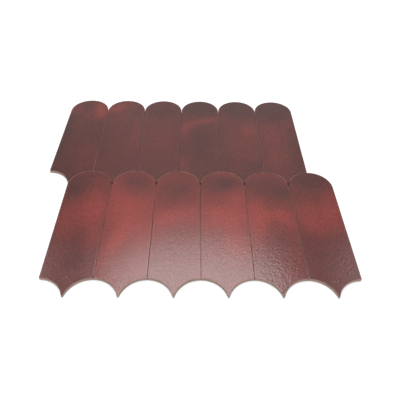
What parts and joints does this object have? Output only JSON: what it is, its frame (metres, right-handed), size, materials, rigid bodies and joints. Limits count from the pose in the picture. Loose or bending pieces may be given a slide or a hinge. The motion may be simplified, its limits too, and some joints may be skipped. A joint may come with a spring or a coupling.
{
  "type": "self-adhesive metal mosaic tile",
  "caption": "Flat self-adhesive mosaic sheet of long round-topped metal scales in two interlocking staggered rows, with a clouded red-brown semi-gloss face.",
  "frame": {"origin": "under the middle of the sheet's overall box, on the underside of the release liner", "axes": "+X along the rows, +Y towards the round ends of the scales, +Z out of the decorated face"},
  "size_m": [0.3246, 0.3186, 0.0034],
  "materials": {
    "scale_paint": "semi-gloss red-brown, clouded with dark grey-brown, fine orange-peel relief",
    "adhesive": "dull dark grey acrylic adhesive",
    "liner_paper": "smooth off-white release paper"
  },
  "bodies": {
    "root": {"upper_scale_1": "scale_paint", "upper_scale_2": "scale_paint", "upper_scale_3": "scale_paint", "upper_scale_4": "scale_paint", "upper_scale_5": "scale_paint", "upper_scale_6": "scale_paint", "lower_scale_1": "scale_paint", "lower_scale_2": "scale_paint", "lower_scale_3": "scale_paint", "lower_scale_4": "scale_paint", "lower_scale_5": "scale_paint", "lower_scale_6": "scale_paint", "adhesive_film": "adhesive", "release_liner": "liner_paper"}
  },
  "joints": []
}
